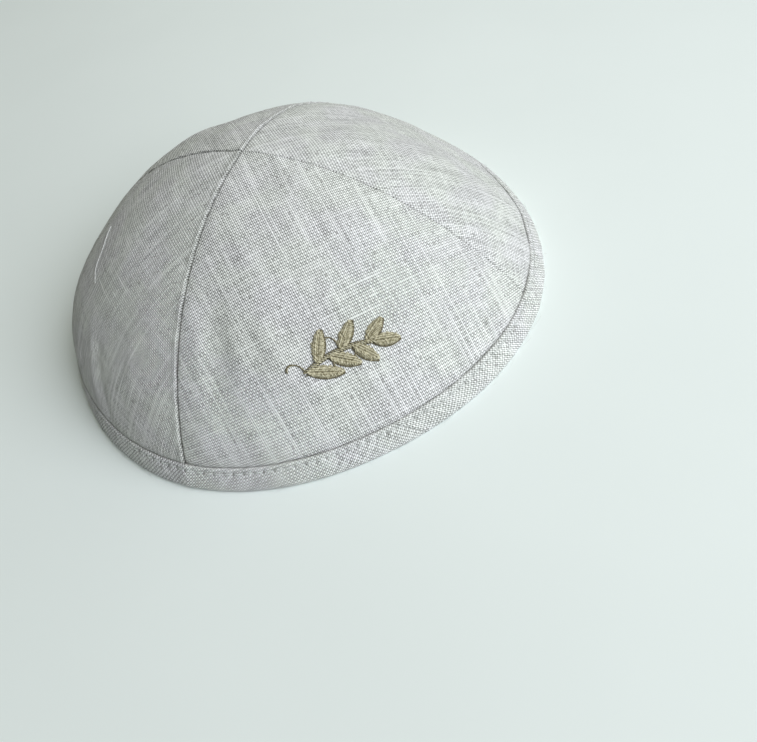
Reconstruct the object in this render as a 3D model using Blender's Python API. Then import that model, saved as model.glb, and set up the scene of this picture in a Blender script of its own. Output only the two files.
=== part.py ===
"""A four-panel skullcap of slubbed linen, standing on its rim: four curved panels sewn edge to edge,
a binding folded round their hems, and a small embroidered sprig on the front panel.
Metres, +Z up, origin on the floor under the crown, front panel towards -Y."""

import math
from collections import namedtuple

import bmesh
import bpy
from mathutils import Vector

# Main sizes of the cap
RIM_RADIUS = 0.0830  # where the face of the cloth, carried down, meets the floor
CROWN_HEIGHT = 0.0571
SLACK = 0.0025  # how far the soft crown sinks below a true sphere, half way down
SQUARENESS = 0.015  # share by which the rim is wider at the four seams
CROWN_LEAN = (-0.0012, 0.0005)  # how far the crown sits off the rim's middle, as x and y
WALL_LEAN = (-0.0017, 0.0020)  # how far the wall is pushed aside half way down, as x and y

# Cloth of the panels
CLOTH_THICKNESS = 0.0014
HEM_THICKNESS = 0.0010  # pressed flat where the binding grips it
SEAM_GAP = 0.0003
SEAM_ROLL_DEPTH = 0.0005  # how far a panel's edge turns down into its seam
SEAM_ROLL_WIDTH = 0.0016

# Binding round the rim
BINDING_WIDTH = 0.0080
BINDING_INNER_WIDTH = 0.0074
BINDING_THICKNESS = 0.0010
BINDING_GAP = 0.0003
BINDING_EDGE_ROLL = 0.0004

# Embroidered sprig
SPRIG_RISE = 0.0322  # from the rim's plane up the front panel to the sprig's middle
SPRIG_ASIDE = -0.0025  # from the front panel's middle line
SPRIG_LENGTH = 0.0225
SPRIG_ARCH = 0.0026
STEM_WIDTH = 0.0012
THREAD_HEIGHT = 0.0007
THREAD_GAP = 0.0003
LEAF_LENGTH = 0.0105
LEAF_WIDTH = 0.0036
LEAF_SPREAD = math.radians(44)
LEAF_PAIRS = 3

# Fineness of the facets
PANEL_COLUMNS = 15
PANEL_ROWS = 16
BINDING_SEGMENTS = 88
LEAF_STATIONS = 7
STEM_STATIONS = 13

# Broad swells and hollows of the soft cloth. Across runs from -1 to 1 between a panel's seams,
# anticlockwise seen from above; down runs from 0 at the crown to 1 at the rim; lift is in metres.
Swell = namedtuple("Swell", "panel across down across_reach down_reach lift")
SWELLS = [
    Swell("panel_front", -0.76, 0.63, 0.16, 0.22, -0.0010),
    Swell("panel_front", -0.42, 0.60, 0.22, 0.28, 0.0005),
    Swell("panel_front", 0.00, 0.55, 0.60, 0.35, -0.0008),
    Swell("panel_left", -0.10, 0.78, 0.60, 0.25, 0.0027),
    Swell("panel_left", -0.20, 0.45, 0.60, 0.25, 0.0012),
    Swell("panel_right", 0.40, 0.40, 0.45, 0.30, -0.0015),
    Swell("panel_right", 0.10, 0.75, 0.50, 0.25, -0.0022),
    Swell("panel_back", -0.30, 0.60, 0.50, 0.30, -0.0017),
    Swell("panel_back", 0.60, 0.60, 0.50, 0.30, 0.0006),
]

# The panel that starts at each seam, and how far the seam bows anticlockwise half way down
SEAM_BOWS = {
    "panel_front": -0.0009,
    "panel_right": 0.0011,
    "panel_back": 0.0003,
    "panel_left": -0.0027,
}

QUARTER = math.pi / 2
PANEL_AZIMUTHS = {
    "panel_front": -QUARTER,
    "panel_right": 0.0,
    "panel_back": QUARTER,
    "panel_left": 2 * QUARTER,
}

SPHERE_RADIUS = (RIM_RADIUS**2 + CROWN_HEIGHT**2) / (2 * CROWN_HEIGHT)
RIM_LEAN = 2 * math.atan(CROWN_HEIGHT / RIM_RADIUS)
MERIDIAN = SPHERE_RADIUS * RIM_LEAN
TONGUE_DEPTH = BINDING_THICKNESS + BINDING_GAP
INNER_LEG_DEPTH = TONGUE_DEPTH + HEM_THICKNESS + BINDING_GAP
RIM_THICKNESS = INNER_LEG_DEPTH + BINDING_THICKNESS
FOLD_HEIGHT = BINDING_THICKNESS


# The crown's surface


def share_above_rim(distance):
    """Share of the meridian, 0 at the crown and 1 at the rim's plane, this far up from the rim."""
    return 1 - distance / MERIDIAN


def distance_at_height(height, depth):
    """Distance up the wall from the rim's plane to a point this high and this deep in the wall."""
    return (height + depth * math.cos(RIM_LEAN)) / math.sin(RIM_LEAN)


def swell_lift(panel, across, share):
    """How far the panel's face stands out from the plain crown, away from its seams and rim."""
    lift = 0.0
    for swell in SWELLS:
        if swell.panel != panel:
            continue
        sideways = (across - swell.across) / swell.across_reach
        downward = (share - swell.down) / swell.down_reach
        lift += swell.lift * math.exp(-(sideways**2) - downward**2)
    held = (1 - across**2) * min(1.0, (1 - share) / (2 * BINDING_WIDTH / MERIDIAN))
    return lift * max(0.0, held)


def face_offset(panel, across, share):
    """Offset of the cloth's face from the sphere through crown and rim, along its normal."""
    return swell_lift(panel, across, share) - SLACK * math.sin(math.pi * min(share, 1.0))


def seam_bow(panel, across, share):
    """Sideways shift of the cloth here, shared out between the bows of the panel's two seams."""
    names = list(SEAM_BOWS)
    following = names[(names.index(panel) + 1) % len(names)]
    bow = SEAM_BOWS[panel] * (1 - across) / 2 + SEAM_BOWS[following] * (1 + across) / 2
    return bow * math.sin(math.pi * min(share, 1.0))


def wall_point(panel, across, share, depth, gap=0.0):
    """A point in a panel's wall, this deep below its face, with half the seam's gap kept clear."""
    lean = share * RIM_LEAN
    radius = SPHERE_RADIUS + face_offset(panel, across, share) - depth
    squareness = -SQUARENESS * share**2 * math.cos(math.pi * across)
    radial = radius * math.sin(lean) * (1 + squareness)
    height = CROWN_HEIGHT - SPHERE_RADIUS + radius * math.cos(lean)
    half_angle = max(0.0, QUARTER / 2 - math.asin(min(1.0, gap / 2 / radial)))
    bow = seam_bow(panel, across, share) / max(radial, CROWN_HEIGHT / 10)
    azimuth = PANEL_AZIMUTHS[panel] + across * half_angle + bow
    place = Vector((radial * math.cos(azimuth), radial * math.sin(azimuth), height))
    crown_share = (1 - share) ** 2
    wall_share = math.sin(math.pi * min(share, 1.0))
    place.x += CROWN_LEAN[0] * crown_share + WALL_LEAN[0] * wall_share
    place.y += CROWN_LEAN[1] * crown_share + WALL_LEAN[1] * wall_share
    return place


def new_object(name, mesh, material, smooth_angle=35):
    """Links a mesh as a named object, shaded smooth with its sharp edges kept."""
    mesh.materials.append(material)
    mesh.shade_smooth()
    mesh.set_sharp_from_angle(angle=math.radians(smooth_angle))
    made = bpy.data.objects.new(name, mesh)
    bpy.context.scene.collection.objects.link(made)
    return made


def finish_mesh(name, shape):
    """Turns a bmesh into a mesh whose faces point out."""
    bmesh.ops.recalc_face_normals(shape, faces=shape.faces)
    bmesh.ops.triangulate(shape, faces=shape.faces)
    mesh = bpy.data.meshes.new(name)
    shape.to_mesh(mesh)
    shape.free()
    return mesh


def cloth(name, colour, roughness):
    material = bpy.data.materials.new(name)
    material.use_nodes = True
    shader = material.node_tree.nodes["Principled BSDF"]
    shader.inputs["Base Color"].default_value = (*colour, 1)
    shader.inputs["Roughness"].default_value = roughness
    shader.inputs["Metallic"].default_value = 0
    return material


# Panels


def panel_rows():
    """Rows of a panel from crown to hem, each (share, depth) on its face and on its back."""
    tip = math.asin(SEAM_GAP * math.sin(QUARTER / 2) / SPHERE_RADIUS) / RIM_LEAN
    edge = BINDING_WIDTH + BINDING_GAP
    last = share_above_rim(edge + 2 * SEAM_ROLL_WIDTH)
    rows = []
    for row in range(PANEL_ROWS):
        share = tip + (last - tip) * row / (PANEL_ROWS - 1)
        rows.append(((share, 0.0), (share, CLOTH_THICKNESS)))
    tongue_back = TONGUE_DEPTH + HEM_THICKNESS
    half_back = (CLOTH_THICKNESS + tongue_back) / 2
    near_edge = edge + BINDING_EDGE_ROLL
    hem_height = FOLD_HEIGHT + BINDING_GAP
    hem_face = distance_at_height(hem_height, TONGUE_DEPTH)
    hem_back = distance_at_height(hem_height, tongue_back)
    for face, back in (
        ((near_edge + SEAM_ROLL_WIDTH / 2, 0.0), (near_edge + SEAM_ROLL_WIDTH / 2, half_back)),
        ((near_edge, BINDING_EDGE_ROLL / 3), (near_edge, tongue_back)),
        ((edge, BINDING_EDGE_ROLL), (edge, tongue_back)),
        ((edge, TONGUE_DEPTH), (edge - TONGUE_DEPTH, tongue_back)),
        ((hem_face, TONGUE_DEPTH), (hem_back, tongue_back)),
    ):
        rows.append(((share_above_rim(face[0]), face[1]), (share_above_rim(back[0]), back[1])))
    return rows


def column_shares(share):
    """Places across a panel, closer together where its edges roll into the seams."""
    half_width = SPHERE_RADIUS * math.sin(share * RIM_LEAN) * QUARTER / 2
    step = 2 / (PANEL_COLUMNS - 1)
    roll = min(SEAM_ROLL_WIDTH / half_width, step / 2)
    places = [-1 + step * column for column in range(1, PANEL_COLUMNS - 1)]
    return [-1, -1 + roll / 2, -1 + roll, *places, 1 - roll, 1 - roll / 2, 1]


def seam_roll(across, share):
    """How far the face dips at this place as its edge turns down into the seam."""
    half_width = SPHERE_RADIUS * math.sin(share * RIM_LEAN) * QUARTER / 2
    away = (1 - abs(across)) * half_width
    return SEAM_ROLL_DEPTH * max(0.0, 1 - away / SEAM_ROLL_WIDTH) ** 2


def build_panel(panel, material):
    """One panel: its face, its back, and the edges between them down both seams and the hem."""
    shape = bmesh.new()
    sides = ([], [])
    rows = panel_rows()
    for number, places in enumerate(rows):
        for side, (share, depth) in zip(sides, places):
            if number == 0:
                tip = shape.verts.new(wall_point(panel, 0.0, share, depth, SEAM_GAP))
                side.append([tip] * len(column_shares(1.0)))
                continue
            line = []
            for across in column_shares(share):
                dip = max(depth, seam_roll(across, share)) if side is sides[0] else depth
                line.append(shape.verts.new(wall_point(panel, across, share, dip, SEAM_GAP)))
            side.append(line)
    face, back = sides
    for upper, lower in ((0, 1),) + tuple((row, row + 1) for row in range(1, len(rows) - 1)):
        for grid in sides:
            for column in range(len(grid[1]) - 1):
                corners = [
                    grid[upper][column],
                    grid[upper][column + 1],
                    grid[lower][column + 1],
                    grid[lower][column],
                ]
                shape.faces.new(dict.fromkeys(corners))
        for edge in (0, -1):
            corners = [face[upper][edge], face[lower][edge], back[lower][edge], back[upper][edge]]
            shape.faces.new(corners)
    for column in range(len(face[-1]) - 1):
        shape.faces.new(
            (face[-1][column], face[-1][column + 1], back[-1][column + 1], back[-1][column])
        )
    return new_object(panel, finish_mesh(panel, shape), material)


# Binding


def binding_section():
    """Outline of the folded binding, each point (distance up the wall, depth in the wall)."""
    roll = BINDING_EDGE_ROLL
    inner_face = INNER_LEG_DEPTH
    slot_outer = distance_at_height(FOLD_HEIGHT, BINDING_THICKNESS)
    slot_inner = distance_at_height(FOLD_HEIGHT, INNER_LEG_DEPTH)
    return [
        (BINDING_WIDTH, BINDING_THICKNESS),
        (BINDING_WIDTH, roll),
        (BINDING_WIDTH - roll, 0.0),
        (BINDING_WIDTH / 2, 0.0),
        (distance_at_height(1.6 * FOLD_HEIGHT, 0.0), 0.0),
        (distance_at_height(0.6 * FOLD_HEIGHT, 0.0), 0.25 * BINDING_THICKNESS),
        (0.0, BINDING_THICKNESS),
        (0.0, inner_face),
        (distance_at_height(0.6 * FOLD_HEIGHT, RIM_THICKNESS), RIM_THICKNESS - 0.25 * BINDING_THICKNESS),
        (distance_at_height(1.6 * FOLD_HEIGHT, RIM_THICKNESS), RIM_THICKNESS),
        (BINDING_INNER_WIDTH - roll, RIM_THICKNESS),
        (BINDING_INNER_WIDTH, RIM_THICKNESS - roll),
        (BINDING_INNER_WIDTH, inner_face),
        (slot_inner, inner_face),
        (slot_outer, BINDING_THICKNESS),
    ]


def build_binding(material):
    """The binding's outline carried once round the rim, pressed flat where it meets the floor."""
    shape = bmesh.new()
    rings = []
    for segment in range(BINDING_SEGMENTS):
        turn = 4 * segment / BINDING_SEGMENTS
        panel = list(PANEL_AZIMUTHS)[int(turn)]
        across = 2 * (turn - int(turn)) - 1
        ring = []
        for distance, depth in binding_section():
            place = wall_point(panel, across, share_above_rim(distance), depth)
            place.z = max(place.z, 0.0)
            ring.append(shape.verts.new(place))
        rings.append(ring)
    for ring, following in zip(rings, rings[1:] + rings[:1]):
        for point in range(len(ring)):
            after = (point + 1) % len(ring)
            shape.faces.new((ring[point], ring[after], following[after], following[point]))
    return new_object("rim_binding", finish_mesh("rim_binding", shape), material)


# Embroidery, drawn flat: x along the stem, y up the panel, z out from the cloth


def stem_place(share):
    """The stem's middle line and its direction at this share of its length."""
    x = SPRIG_LENGTH * (share - 0.5)
    y = SPRIG_ARCH * (1 - (2 * share - 1) ** 2) - SPRIG_ARCH / 2
    slope = -4 * SPRIG_ARCH * (2 * share - 1) / SPRIG_LENGTH
    return Vector((x, y, 0)), math.atan(slope)


def lofted_pad(name, stations, floor, top):
    """A low rounded pad lofted along stations of (middle, direction, half width)."""
    shape = bmesh.new()
    outline = ((-1.0, 0.0), (-0.8, 0.55), (0.0, 1.0), (0.8, 0.55), (1.0, 0.0))
    rings = []
    for middle, direction, half_width in stations:
        side = Vector((-math.sin(direction), math.cos(direction), 0))
        ring = []
        for sideways, up in outline:
            place = middle + side * (sideways * half_width)
            place.z = floor + (top - floor) * up
            ring.append(shape.verts.new(place))
        rings.append(ring)
    for ring, following in zip(rings, rings[1:]):
        for point in range(len(outline)):
            after = (point + 1) % len(outline)
            shape.faces.new((ring[point], ring[after], following[after], following[point]))
    shape.faces.new(rings[0])
    shape.faces.new(rings[-1])
    mesh = finish_mesh(name, shape)
    made = bpy.data.objects.new(name, mesh)
    return made


def leaf(number, foot, direction, length, floor):
    """A pointed leaf of satin stitch that starts on the stem."""
    stations = []
    for station in range(LEAF_STATIONS):
        share = station / (LEAF_STATIONS - 1)
        middle = foot + Vector((math.cos(direction), math.sin(direction), 0)) * (length * share)
        fullness = math.sin(math.pi * (0.06 + 0.90 * share)) ** 0.85
        stations.append((middle, direction, LEAF_WIDTH / 2 * fullness))
    return lofted_pad(f"leaf_{number}", stations, floor, THREAD_GAP + THREAD_HEIGHT)


def flat_sprig():
    """The stem with its leaves joined on, as one flat mesh."""
    floor = THREAD_GAP
    stations = []
    for station in range(STEM_STATIONS):
        share = station / (STEM_STATIONS - 1)
        middle, direction = stem_place(share)
        stations.append((middle, direction, STEM_WIDTH / 2 * (1 - 0.35 * share)))
    stem = lofted_pad("stem", stations, floor, THREAD_GAP + 1.15 * THREAD_HEIGHT)
    bpy.context.scene.collection.objects.link(stem)
    leaves = bpy.data.collections.new("leaves")
    bpy.context.scene.collection.children.link(leaves)
    lowered = THREAD_HEIGHT / 20
    for pair in range(LEAF_PAIRS):
        for side in (-1, 1):
            share = (pair + 0.35 + 0.25 * side) / LEAF_PAIRS
            foot, direction = stem_place(share)
            length = LEAF_LENGTH * (1 - 0.25 * share)
            number = 2 * pair + (side + 1) // 2
            made = leaf(number, foot, direction + side * LEAF_SPREAD, length, floor + lowered)
            leaves.objects.link(made)
    foot, direction = stem_place(1 - STEM_WIDTH / SPRIG_LENGTH)
    tip_leaf = leaf(2 * LEAF_PAIRS, foot, direction, LEAF_LENGTH * 0.8, floor + 2 * lowered)
    leaves.objects.link(tip_leaf)
    joined = stem.modifiers.new("leaves", "BOOLEAN")
    joined.operation = "UNION"
    joined.operand_type = "COLLECTION"
    joined.collection = leaves
    evaluated = stem.evaluated_get(bpy.context.evaluated_depsgraph_get())
    mesh = bpy.data.meshes.new_from_object(evaluated)
    for made in [stem, *leaves.objects]:
        bpy.data.objects.remove(made)
    bpy.data.collections.remove(leaves)
    return mesh


def build_sprig(material):
    """The flat sprig laid on the front panel's face."""
    mesh = flat_sprig()
    for vertex in mesh.vertices:
        share = share_above_rim(SPRIG_RISE + vertex.co.y)
        half_width = SPHERE_RADIUS * math.sin(share * RIM_LEAN) * QUARTER / 2
        across = (SPRIG_ASIDE + vertex.co.x) / half_width
        vertex.co = wall_point("panel_front", across, share, -vertex.co.z)
    return new_object("embroidered_sprig", mesh, material)


def main():
    for old in list(bpy.data.objects):
        bpy.data.objects.remove(old)
    linen = cloth("linen", (0.60, 0.61, 0.58), 0.9)
    bias_linen = cloth("bias_linen", (0.58, 0.59, 0.56), 0.9)
    thread = cloth("olive_thread", (0.30, 0.26, 0.15), 0.45)
    for panel in PANEL_AZIMUTHS:
        build_panel(panel, linen)
    build_binding(bias_linen)
    build_sprig(thread)


main()
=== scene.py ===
"""Looks of a four-panel linen skullcap that stands on its rim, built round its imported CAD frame.
Metres, +Z up, front panel towards -Y. A finer piece of the same form replaces every CAD node."""

import math

import bpy
import numpy as np
from mathutils import Matrix, Vector


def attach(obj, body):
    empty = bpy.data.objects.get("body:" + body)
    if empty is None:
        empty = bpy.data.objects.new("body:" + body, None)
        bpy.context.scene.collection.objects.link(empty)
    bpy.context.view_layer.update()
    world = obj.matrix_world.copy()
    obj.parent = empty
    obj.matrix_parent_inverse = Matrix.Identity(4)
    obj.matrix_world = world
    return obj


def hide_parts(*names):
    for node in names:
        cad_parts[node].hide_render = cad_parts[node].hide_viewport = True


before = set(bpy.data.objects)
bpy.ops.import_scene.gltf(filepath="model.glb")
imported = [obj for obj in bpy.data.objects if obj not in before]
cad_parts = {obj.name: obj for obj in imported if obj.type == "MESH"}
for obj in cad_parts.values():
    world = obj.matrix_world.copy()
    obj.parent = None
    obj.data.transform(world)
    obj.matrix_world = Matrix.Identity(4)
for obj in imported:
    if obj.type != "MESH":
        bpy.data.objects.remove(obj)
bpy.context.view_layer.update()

# Linen panels
# Four quarters of slubbed plain-weave linen, cut with the grain down each quarter's middle and
# sewn edge to edge. The allowances are pressed to one side, which raises one edge of each seam.

RIM_RADIUS = 0.0830
CROWN_HEIGHT = 0.0571
SLACK = 0.0025
SQUARENESS = 0.015
CROWN_LEAN = (-0.0012, 0.0005)
WALL_LEAN = (-0.0017, 0.0020)
CLOTH_THICKNESS = 0.0014
BINDING_WIDTH = 0.0080
SPHERE_RADIUS = (RIM_RADIUS**2 + CROWN_HEIGHT**2) / (2 * CROWN_HEIGHT)
RIM_LEAN = 2 * math.atan(CROWN_HEIGHT / RIM_RADIUS)
MERIDIAN = SPHERE_RADIUS * RIM_LEAN
EIGHTH = math.pi / 4

PANELS = ("panel_front", "panel_right", "panel_back", "panel_left")
PANEL_AZIMUTHS = {name: (turn - 1) * 2 * EIGHTH for turn, name in enumerate(PANELS)}
# Sideways bow, half way down, of the seam at each panel's start
SEAM_BOWS = {
    "panel_front": -0.0009,
    "panel_right": 0.0011,
    "panel_back": 0.0003,
    "panel_left": -0.0027,
}
# Broad swells and hollows: across, down, reach across, reach down, lift in metres
SWELLS = {
    "panel_front": (
        (-0.76, 0.63, 0.16, 0.22, -0.0010),
        (-0.42, 0.60, 0.22, 0.28, 0.0005),
        (0.00, 0.55, 0.60, 0.35, -0.0008),
    ),
    "panel_right": (
        (0.40, 0.40, 0.45, 0.30, -0.0015),
        (0.10, 0.75, 0.50, 0.25, -0.0022),
    ),
    "panel_back": (
        (-0.30, 0.60, 0.50, 0.30, -0.0017),
        (0.60, 0.60, 0.50, 0.30, 0.0006),
    ),
    "panel_left": (
        (-0.10, 0.78, 0.60, 0.25, 0.0027),
        (-0.20, 0.45, 0.60, 0.25, 0.0012),
    ),
}
# Height of the raised ridge, or depth of the dip, beside the seam at each panel's start and end
SEAM_EDGES = {
    "panel_front": (-0.00022, 0.00016),
    "panel_right": (-0.00012, -0.00022),
    "panel_back": (0.00026, 0.00012),
    "panel_left": (-0.00012, 0.00022),
}
# How dark the painted shade in the crease of each panel's seams is, at its start and end
SEAM_SHADOWS = {
    "panel_front": (0.80, 0.34),
    "panel_right": (0.34, 0.65),
    "panel_back": (0.65, 0.34),
    "panel_left": (0.34, 0.80),
}
# How dark the painted shade in the crease above the binding is
HEM_SHADOWS = {"panel_front": 0.70, "panel_right": 0.45, "panel_back": 0.45, "panel_left": 0.75}
# How much closer than elsewhere a panel's yarns lie, across the grain and along it
CLOSENESS = {"panel_left": (1.07, 1.11)}
# Soft wrinkles: across and down of each end, width in metres, lift in metres
WRINKLES = {
    "panel_front": (
        (-0.88, 0.52, -0.84, 0.80, 0.0026, 0.00028),
        (-0.76, 0.42, -0.74, 0.78, 0.0040, -0.00038),
        (-0.60, 0.50, -0.62, 0.74, 0.0030, 0.00030),
        (-0.50, 0.62, -0.56, 0.86, 0.0026, -0.00022),
        (-0.30, 0.70, -0.34, 0.90, 0.0030, 0.00018),
        (0.30, 0.74, 0.34, 0.90, 0.0034, 0.00016),
    ),
    "panel_right": ((-0.30, 0.60, -0.38, 0.88, 0.0040, 0.00022),),
    "panel_back": ((0.20, 0.55, 0.26, 0.86, 0.0040, 0.00025),),
    "panel_left": (
        (0.20, 0.66, 0.40, 0.93, 0.0022, 0.00045),
        (0.30, 0.68, 0.50, 0.93, 0.0020, -0.00035),
        (0.05, 0.70, 0.24, 0.93, 0.0024, -0.00028),
        (0.62, 0.60, 0.70, 0.90, 0.0028, 0.00026),
    ),
}
SEAM_ROLL_WIDTH = 0.00045
SEAM_ROLL_DEPTH = 0.0005
HEM_DIP = 0.0004
CROWN_SHARE = 0.0004
SKIRT_DEPTH = 0.0011
TUCK_DEPTH = 0.0012
# How far up the binding's width the face's three tucked rows lie
TUCKED = (0.985, 0.8, 0.55)
BACK_COLUMNS = 37
BACK_ROWS = 50
# Width and height of flat cloth that the bake map has room for
BAKE_SPAN = (0.14, 0.112)


def share_above_rim(distance):
    """Share of the way from crown to rim at this distance up from the rim."""
    return 1 - distance / MERIDIAN


def half_width(share):
    """Half the width of a panel at this share of the way down."""
    return SPHERE_RADIUS * np.sin(share * RIM_LEAN) * EIGHTH


def crown_point(panel, across, share, rise):
    """Points on the cap's form, lifted by rise along the form's normal."""
    clipped = np.minimum(share, 1.0)
    lift = 0.0
    for middle, down, reach_across, reach_down, height in SWELLS[panel]:
        sideways = (across - middle) / reach_across
        downward = (share - down) / reach_down
        lift = lift + height * np.exp(-(sideways**2) - downward**2)
    held = np.clip((1 - share) / (2 * BINDING_WIDTH / MERIDIAN), 0, 1)
    lift = lift * (1 - across**2) * held - SLACK * np.sin(np.pi * clipped)
    lean = share * RIM_LEAN
    radius = SPHERE_RADIUS + lift + rise
    radial = radius * np.sin(lean) * (1 - SQUARENESS * share**2 * np.cos(np.pi * across))
    following = PANELS[(PANELS.index(panel) + 1) % 4]
    bow = SEAM_BOWS[panel] * (1 - across) / 2 + SEAM_BOWS[following] * (1 + across) / 2
    bow = bow * np.sin(np.pi * clipped) / np.maximum(radial, CROWN_HEIGHT / 10)
    azimuth = PANEL_AZIMUTHS[panel] + across * EIGHTH + bow
    wall, top = np.sin(np.pi * clipped), (1 - share) ** 2
    return np.stack(
        (
            radial * np.cos(azimuth) + CROWN_LEAN[0] * top + WALL_LEAN[0] * wall,
            radial * np.sin(azimuth) + CROWN_LEAN[1] * top + WALL_LEAN[1] * wall,
            CROWN_HEIGHT - SPHERE_RADIUS + radius * np.cos(lean),
        ),
        axis=-1,
    )


def ripples(x, y, seed, shortest, longest, count=26):
    """A smooth random field of about -1 to 1, of waves between two lengths in metres."""
    rng = np.random.default_rng(seed)
    total = 0.0
    for _ in range(count):
        length = shortest * (longest / shortest) ** rng.random()
        turn = rng.random() * 2 * np.pi
        phase = rng.random() * 2 * np.pi
        total = total + np.sin(
            2 * np.pi * (x * np.cos(turn) + y * np.sin(turn)) / length + phase
        )
    return total / math.sqrt(count / 2) / 1.6


def flat_cloth(across, share):
    """Where a point lies in its panel's flat cloth: across the grain and up it, in metres."""
    lean, turn = share * RIM_LEAN, across * EIGHTH
    x = SPHERE_RADIUS * np.arcsin(np.sin(lean) * np.sin(turn))
    y = -SPHERE_RADIUS * np.arctan2(np.sin(lean) * np.cos(turn), np.cos(lean))
    return x, y


def panel_relief(panel, across, share):
    """Fine rise of a panel's face, and how much painted shade each point gets in the creases
    beside the seams and above the binding, 0 to 1.
    """
    x, y = flat_cloth(across, share)
    seed = PANELS.index(panel)
    width = half_width(share)
    starts, ends = (1 + across) * width, (1 - across) * width
    nearest = np.minimum(starts, ends)
    free = np.clip(nearest / 0.008, 0, 1) * np.clip(share / 0.08, 0, 1)
    rise = 0.00020 * ripples(x, y, 10 + seed, 0.016, 0.045) * free
    rise = rise + 0.00004 * ripples(x, y, 20 + seed, 0.0045, 0.010)
    for across_a, down_a, across_b, down_b, reach, lift in WRINKLES[panel]:
        middle = (share - down_a) / (down_b - down_a)
        away = (across - across_a - (across_b - across_a) * middle) * width
        ends_fade = np.exp(-(((middle - 0.5) / 0.42) ** 4))
        rise = rise + lift * np.exp(-((away / reach) ** 2)) * ends_fade
    puckers = ripples(y, 0 * y, 30 + seed, 0.005, 0.011, 9)
    for distance, edge in zip((starts, ends), SEAM_EDGES[panel]):
        if edge > 0:
            bead = np.exp(-(((distance - 0.0008) / 0.0009) ** 2))
        else:
            bead = np.exp(-((distance / 0.0016) ** 2))
        rise = rise + edge * bead * (1 + 0.25 * puckers)
        rise = rise + 0.00007 * puckers * np.exp(-((distance / 0.004) ** 2))
    rise = rise - SEAM_ROLL_DEPTH * np.clip(1 - nearest / SEAM_ROLL_WIDTH, 0, 1) ** 2
    above_binding = (1 - share) * MERIDIAN - BINDING_WIDTH
    dip = np.exp(-np.clip(above_binding / 0.0011, 0, 9) ** 2)
    rise = rise - HEM_DIP * dip
    # Painted shade in the crease above the binding and in each seam's crease
    crease = HEM_SHADOWS[panel] * np.exp(-((above_binding / 0.00032) ** 2))
    for distance, shadow in zip((starts, ends), SEAM_SHADOWS[panel]):
        crease = np.maximum(crease, shadow * np.exp(-((distance / 0.00030) ** 2)))
    return rise, crease


def link_mesh(name, points, quads, maps=None, marks=None):
    """Makes a smooth mesh. maps are UVs per face corner, marks are values per point."""
    mesh = bpy.data.meshes.new(name)
    mesh.from_pydata(points.reshape(-1, 3).tolist(), [], quads.tolist())
    for label, corners in (maps or {}).items():
        layer = mesh.uv_layers.new(name=label)
        layer.data.foreach_set("uv", np.ascontiguousarray(corners, np.float32).ravel())
    for label, values in (marks or {}).items():
        attribute = mesh.attributes.new(label, "FLOAT", "POINT")
        attribute.data.foreach_set("value", np.ascontiguousarray(values, np.float32).ravel())
    mesh.shade_smooth()
    made = bpy.data.objects.new(name, mesh)
    bpy.context.scene.collection.objects.link(made)
    return made


def grid_quads(rows, columns, first=0, flip=False):
    """Faces of a grid of points, row by row."""
    row, column = np.meshgrid(np.arange(rows - 1), np.arange(columns - 1), indexing="ij")
    corner = (row * columns + column).ravel() + first
    quads = np.stack((corner, corner + 1, corner + columns + 1, corner + columns), axis=-1)
    return quads[:, ::-1] if flip else quads


def build_panel(panel, columns=149, rows=200):
    """One panel: a fine face with its edges turned down, and a plainer back."""
    even = np.linspace(-1, 1, columns)
    across_line = 0.55 * even + 0.45 * np.sin(even * np.pi / 2)
    share_line = np.linspace(CROWN_SHARE, share_above_rim(BINDING_WIDTH), rows)
    across, share = np.meshgrid(across_line, share_line)
    rise, crease = panel_relief(panel, across, share)
    sheets = [crown_point(panel, across, share, rise)]
    tucked = share_above_rim(BINDING_WIDTH * np.array(TUCKED))
    tuck_across, tuck_share = np.meshgrid(across_line, tucked)
    sheets.append(crown_point(panel, tuck_across, tuck_share, -TUCK_DEPTH + 0 * tuck_share))
    face = np.concatenate(sheets)
    lowered = crown_point(panel, across, share, -SKIRT_DEPTH + 0 * share)
    lowered = np.concatenate((lowered, sheets[1]))
    face = np.concatenate((lowered[:, :1], face, lowered[:, -1:]), axis=1)
    columns, rows = columns + 2, rows + 3
    wide_across = np.concatenate(([-1.0], across_line, [1.0]))
    all_share = np.concatenate((share_line, tucked))
    grid_across, grid_share = np.meshgrid(wide_across, all_share)
    # Painted shade, at full strength, on the turned-down edges and the tucked rows
    crease = np.pad(crease, ((0, 3), (1, 1)), constant_values=1.0)
    back_across = np.linspace(-1, 1, BACK_COLUMNS)
    back_end = share_above_rim(BINDING_WIDTH * TUCKED[-1])
    back_share = np.linspace(CROWN_SHARE, back_end, BACK_ROWS)
    back_grid = np.meshgrid(back_across, back_share)
    back = crown_point(panel, *back_grid, -CLOTH_THICKNESS + 0 * back_grid[1])
    quads = np.concatenate(
        (
            grid_quads(rows, columns, flip=True),
            grid_quads(BACK_ROWS, BACK_COLUMNS, first=rows * columns),
        )
    )
    places = []
    bakes = []
    for number, (spread, drop) in enumerate(((grid_across, grid_share), back_grid)):
        x, y = flat_cloth(spread, drop)
        closer = CLOSENESS.get(panel, (1.0, 1.0))
        places.append(np.stack((x * closer[0], y * closer[1]), axis=-1).reshape(-1, 2) * 1000)
        left, low = 0.5 + x / BAKE_SPAN[0], 1 + y / BAKE_SPAN[1]
        low = 0.33 + 0.65 * low if number == 0 else 0.01 + 0.29 * low
        bakes.append(np.stack((0.01 + 0.98 * left, low), axis=-1).reshape(-1, 2))
    places, bakes = np.concatenate(places), np.concatenate(bakes)
    # A little painted shade all over the back, inside the cap
    marks = np.concatenate((crease.ravel(), 0.15 + np.zeros(back[..., 0].size)))
    made = link_mesh(
        panel + "_cloth",
        np.concatenate((face.reshape(-1, 3), back.reshape(-1, 3))),
        quads,
        {"OFBake": bakes[quads], "cloth": places[quads]},
        {"crease": marks},
    )
    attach(made, "root")
    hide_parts(panel)
    return made


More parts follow.
